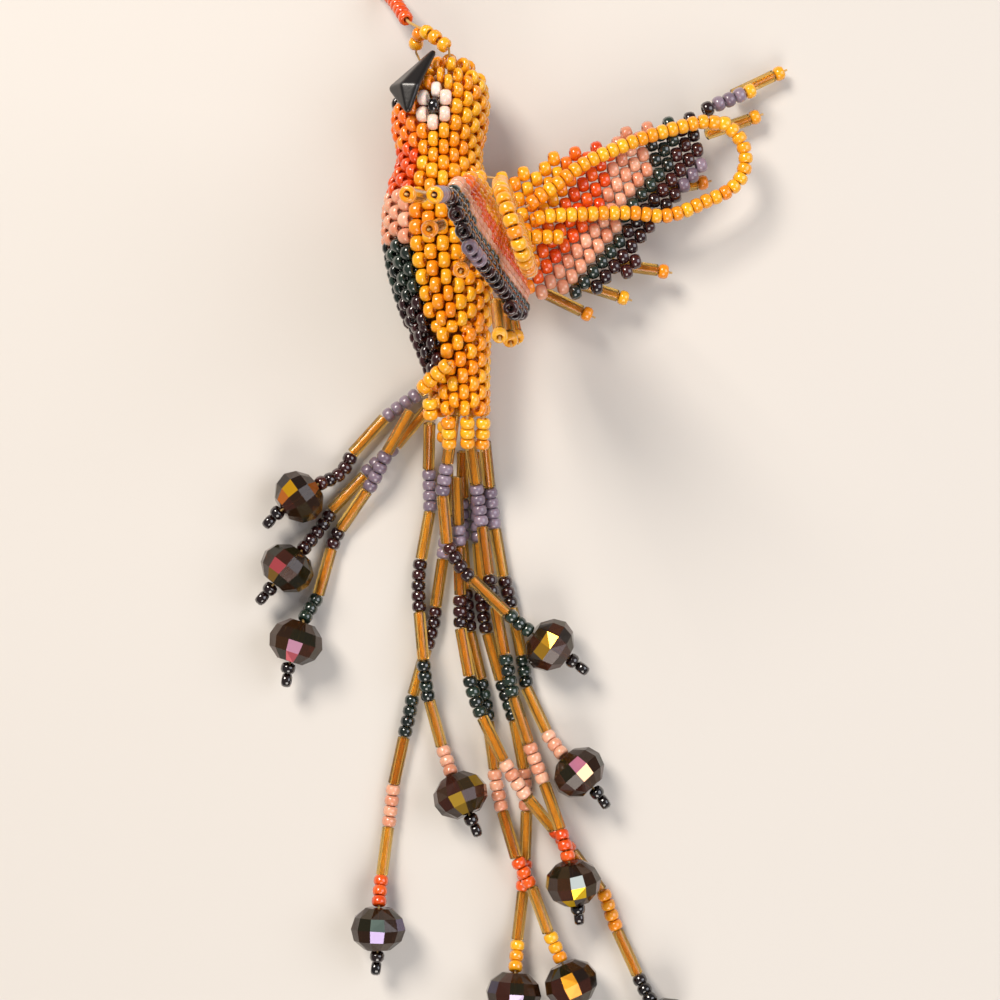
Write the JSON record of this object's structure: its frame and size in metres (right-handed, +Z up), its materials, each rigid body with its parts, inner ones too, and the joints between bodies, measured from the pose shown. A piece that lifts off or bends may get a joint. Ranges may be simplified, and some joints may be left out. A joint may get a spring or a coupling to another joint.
{
  "type": "beaded bird pendant",
  "caption": "Beaded bird pendant lying on its side: stitched bead body, two wings, a fringe of bead strands that ends in faceted crystals, and a neck strand.",
  "frame": {"origin": "on the table, under the middle of the bird's box without its neck strand", "axes": "+Y from the tail to the head, +X from the belly to the back, +Z up from the table"},
  "size_m": [0.0752, 0.1785, 0.059],
  "materials": {
    "yellow_glass": "opaque glass seed beads, glossy",
    "orange_glass": "opaque glass seed beads, glossy",
    "red_glass": "opaque glass seed beads, glossy",
    "pink_glass": "opaque glass seed beads with a soft lustre",
    "green_glass": "dark green opaque glass seed beads, glossy",
    "garnet_glass": "dark garnet glass seed beads, glossy",
    "lilac_glass": "opaque lilac glass seed beads, matt lustre",
    "cream_glass": "opaque cream glass seed beads",
    "black_glass": "black glass, glossy",
    "bugle_glass": "gold-lined amber glass tubes",
    "crystal_glass": "fire-polished smoky glass with an iridescent coat",
    "strung_glass": "mixed glass beads on thread",
    "wadding": "cotton wadding"
  },
  "bodies": {
    "bird": {"filling": "wadding", "body_yellow": "yellow_glass", "underside": "yellow_glass", "face_black": "black_glass", "throat_orange": "orange_glass", "breast_red": "red_glass", "breast_pink": "pink_glass", "belly_green": "green_glass", "belly_garnet": "garnet_glass", "eye_rings": "cream_glass", "eyes": "black_glass", "beak": "black_glass", "skirt": "yellow_glass", "hanger": "yellow_glass", "neck_strand": "red_glass", "neck_coil": "red_glass", "neck_loop": "yellow_glass"},
    "right_wing": {"right_wing_yellow": "yellow_glass", "right_wing_orange": "orange_glass", "right_wing_red": "red_glass", "right_wing_pink": "pink_glass", "right_wing_green": "green_glass", "right_wing_garnet": "garnet_glass", "right_wing_lilac": "lilac_glass", "right_wing_bugles": "bugle_glass", "right_wing_tips": "yellow_glass"},
    "right_loop": {"right_wing_loop": "yellow_glass"},
    "left_wing": {"left_wing_yellow": "yellow_glass", "left_wing_orange": "orange_glass", "left_wing_red": "red_glass", "left_wing_pink": "pink_glass", "left_wing_green": "green_glass", "left_wing_garnet": "garnet_glass", "left_wing_lilac": "lilac_glass", "left_wing_bugles": "bugle_glass", "left_wing_tips": "yellow_glass"},
    "left_loop": {"left_wing_loop": "yellow_glass"},
    "side_tassel": {"strand_1": "strung_glass", "strand_2": "strung_glass", "strand_3": "strung_glass"},
    "tail_tassel": {"strand_4": "strung_glass", "strand_5": "strung_glass", "strand_6": "strung_glass", "strand_7": "strung_glass", "strand_8": "strung_glass", "strand_9": "strung_glass", "strand_10": "strung_glass", "strand_11": "strung_glass"},
    "crystal_1": {"crystal_1": "crystal_glass"},
    "crystal_2": {"crystal_2": "crystal_glass"},
    "crystal_3": {"crystal_3": "crystal_glass"},
    "crystal_4": {"crystal_4": "crystal_glass"},
    "crystal_5": {"crystal_5": "crystal_glass"},
    "crystal_6": {"crystal_6": "crystal_glass"},
    "crystal_7": {"crystal_7": "crystal_glass"},
    "crystal_8": {"crystal_8": "crystal_glass"},
    "crystal_9": {"crystal_9": "crystal_glass"},
    "crystal_10": {"crystal_10": "crystal_glass"},
    "crystal_11": {"crystal_11": "crystal_glass"}
  },
  "joints": [
    {"name": "right_wing_hinge", "type": "hinge", "parent": "bird", "child": "right_wing", "pos_m": [-0.0024, 0.0437, 0.0087], "axis": [0, -1, 0], "range_deg": [0, 20]},
    {"name": "right_loop_lift", "type": "hinge", "parent": "right_wing", "child": "right_loop", "pos_m": [-0.0024, 0.0437, 0.0087], "axis": [0, -1, 0], "range_deg": [0, 5]},
    {"name": "left_wing_hinge", "type": "hinge", "parent": "bird", "child": "left_wing", "pos_m": [-0.0029, 0.0441, 0.0132], "axis": [-0.3256, 0.9455, 0], "range_deg": [-10, 2]},
    {"name": "left_loop_lift", "type": "hinge", "parent": "left_wing", "child": "left_loop", "pos_m": [-0.0029, 0.0441, 0.0132], "axis": [-0.3256, 0.9455, 0], "range_deg": [0, 4]},
    {"name": "side_tassel_swing", "type": "hinge", "parent": "bird", "child": "side_tassel", "pos_m": [-0.012, 0.0223, 0.0012], "axis": [0, 0, 1], "range_deg": [-10, 3]},
    {"name": "tail_tassel_swing", "type": "hinge", "parent": "bird", "child": "tail_tassel", "pos_m": [-0.008, 0.0149, 0.002], "axis": [0, 0, 1], "range_deg": [-4, 8]},
    {"name": "crystal_1_spin", "type": "hinge", "parent": "side_tassel", "child": "crystal_1", "pos_m": [-0.03134, 0.00732, 0.00399], "axis": [-0.8052, -0.5588, 0.1983], "continuous": true},
    {"name": "crystal_2_spin", "type": "hinge", "parent": "side_tassel", "child": "crystal_2", "pos_m": [-0.033, -0.00271, 0.00405], "axis": [-0.6276, -0.7644, 0.1473], "continuous": true},
    {"name": "crystal_3_spin", "type": "hinge", "parent": "side_tassel", "child": "crystal_3", "pos_m": [-0.03174, -0.0131, 0.00406], "axis": [-0.3055, -0.9451, 0.116], "continuous": true},
    {"name": "crystal_4_spin", "type": "hinge", "parent": "tail_tassel", "child": "crystal_4", "pos_m": [-0.00858, -0.03471, 0.00401], "axis": [0.4004, -0.8846, 0.239], "continuous": true},
    {"name": "crystal_5_spin", "type": "hinge", "parent": "tail_tassel", "child": "crystal_5", "pos_m": [-0.02017, -0.0535, 0.00417], "axis": [-0.027, -0.9965, 0.0797], "continuous": true},
    {"name": "crystal_6_spin", "type": "hinge", "parent": "tail_tassel", "child": "crystal_6", "pos_m": [0.004, -0.01354, 0.00423], "axis": [0.823, -0.5669, -0.0365], "continuous": true},
    {"name": "crystal_7_spin", "type": "hinge", "parent": "tail_tassel", "child": "crystal_7", "pos_m": [0.00809, -0.03151, 0.00403], "axis": [0.6755, -0.719, 0.1633], "continuous": true},
    {"name": "crystal_8_spin", "type": "hinge", "parent": "tail_tassel", "child": "crystal_8", "pos_m": [0.00722, -0.04666, 0.00615], "axis": [0.1856, -0.9806, -0.0623], "continuous": true},
    {"name": "crystal_9_spin", "type": "hinge", "parent": "tail_tassel", "child": "crystal_9", "pos_m": [-0.00109, -0.06269, 0.00407], "axis": [-0.0759, -0.98, 0.184], "continuous": true},
    {"name": "crystal_10_spin", "type": "hinge", "parent": "tail_tassel", "child": "crystal_10", "pos_m": [0.00702, -0.06117, 0.00415], "axis": [0.4011, -0.9101, 0.1041], "continuous": true},
    {"name": "crystal_11_spin", "type": "hinge", "parent": "tail_tassel", "child": "crystal_11", "pos_m": [0.02012, -0.06673, 0.00411], "axis": [0.5229, -0.8444, 0.1167], "continuous": true}
  ]
}
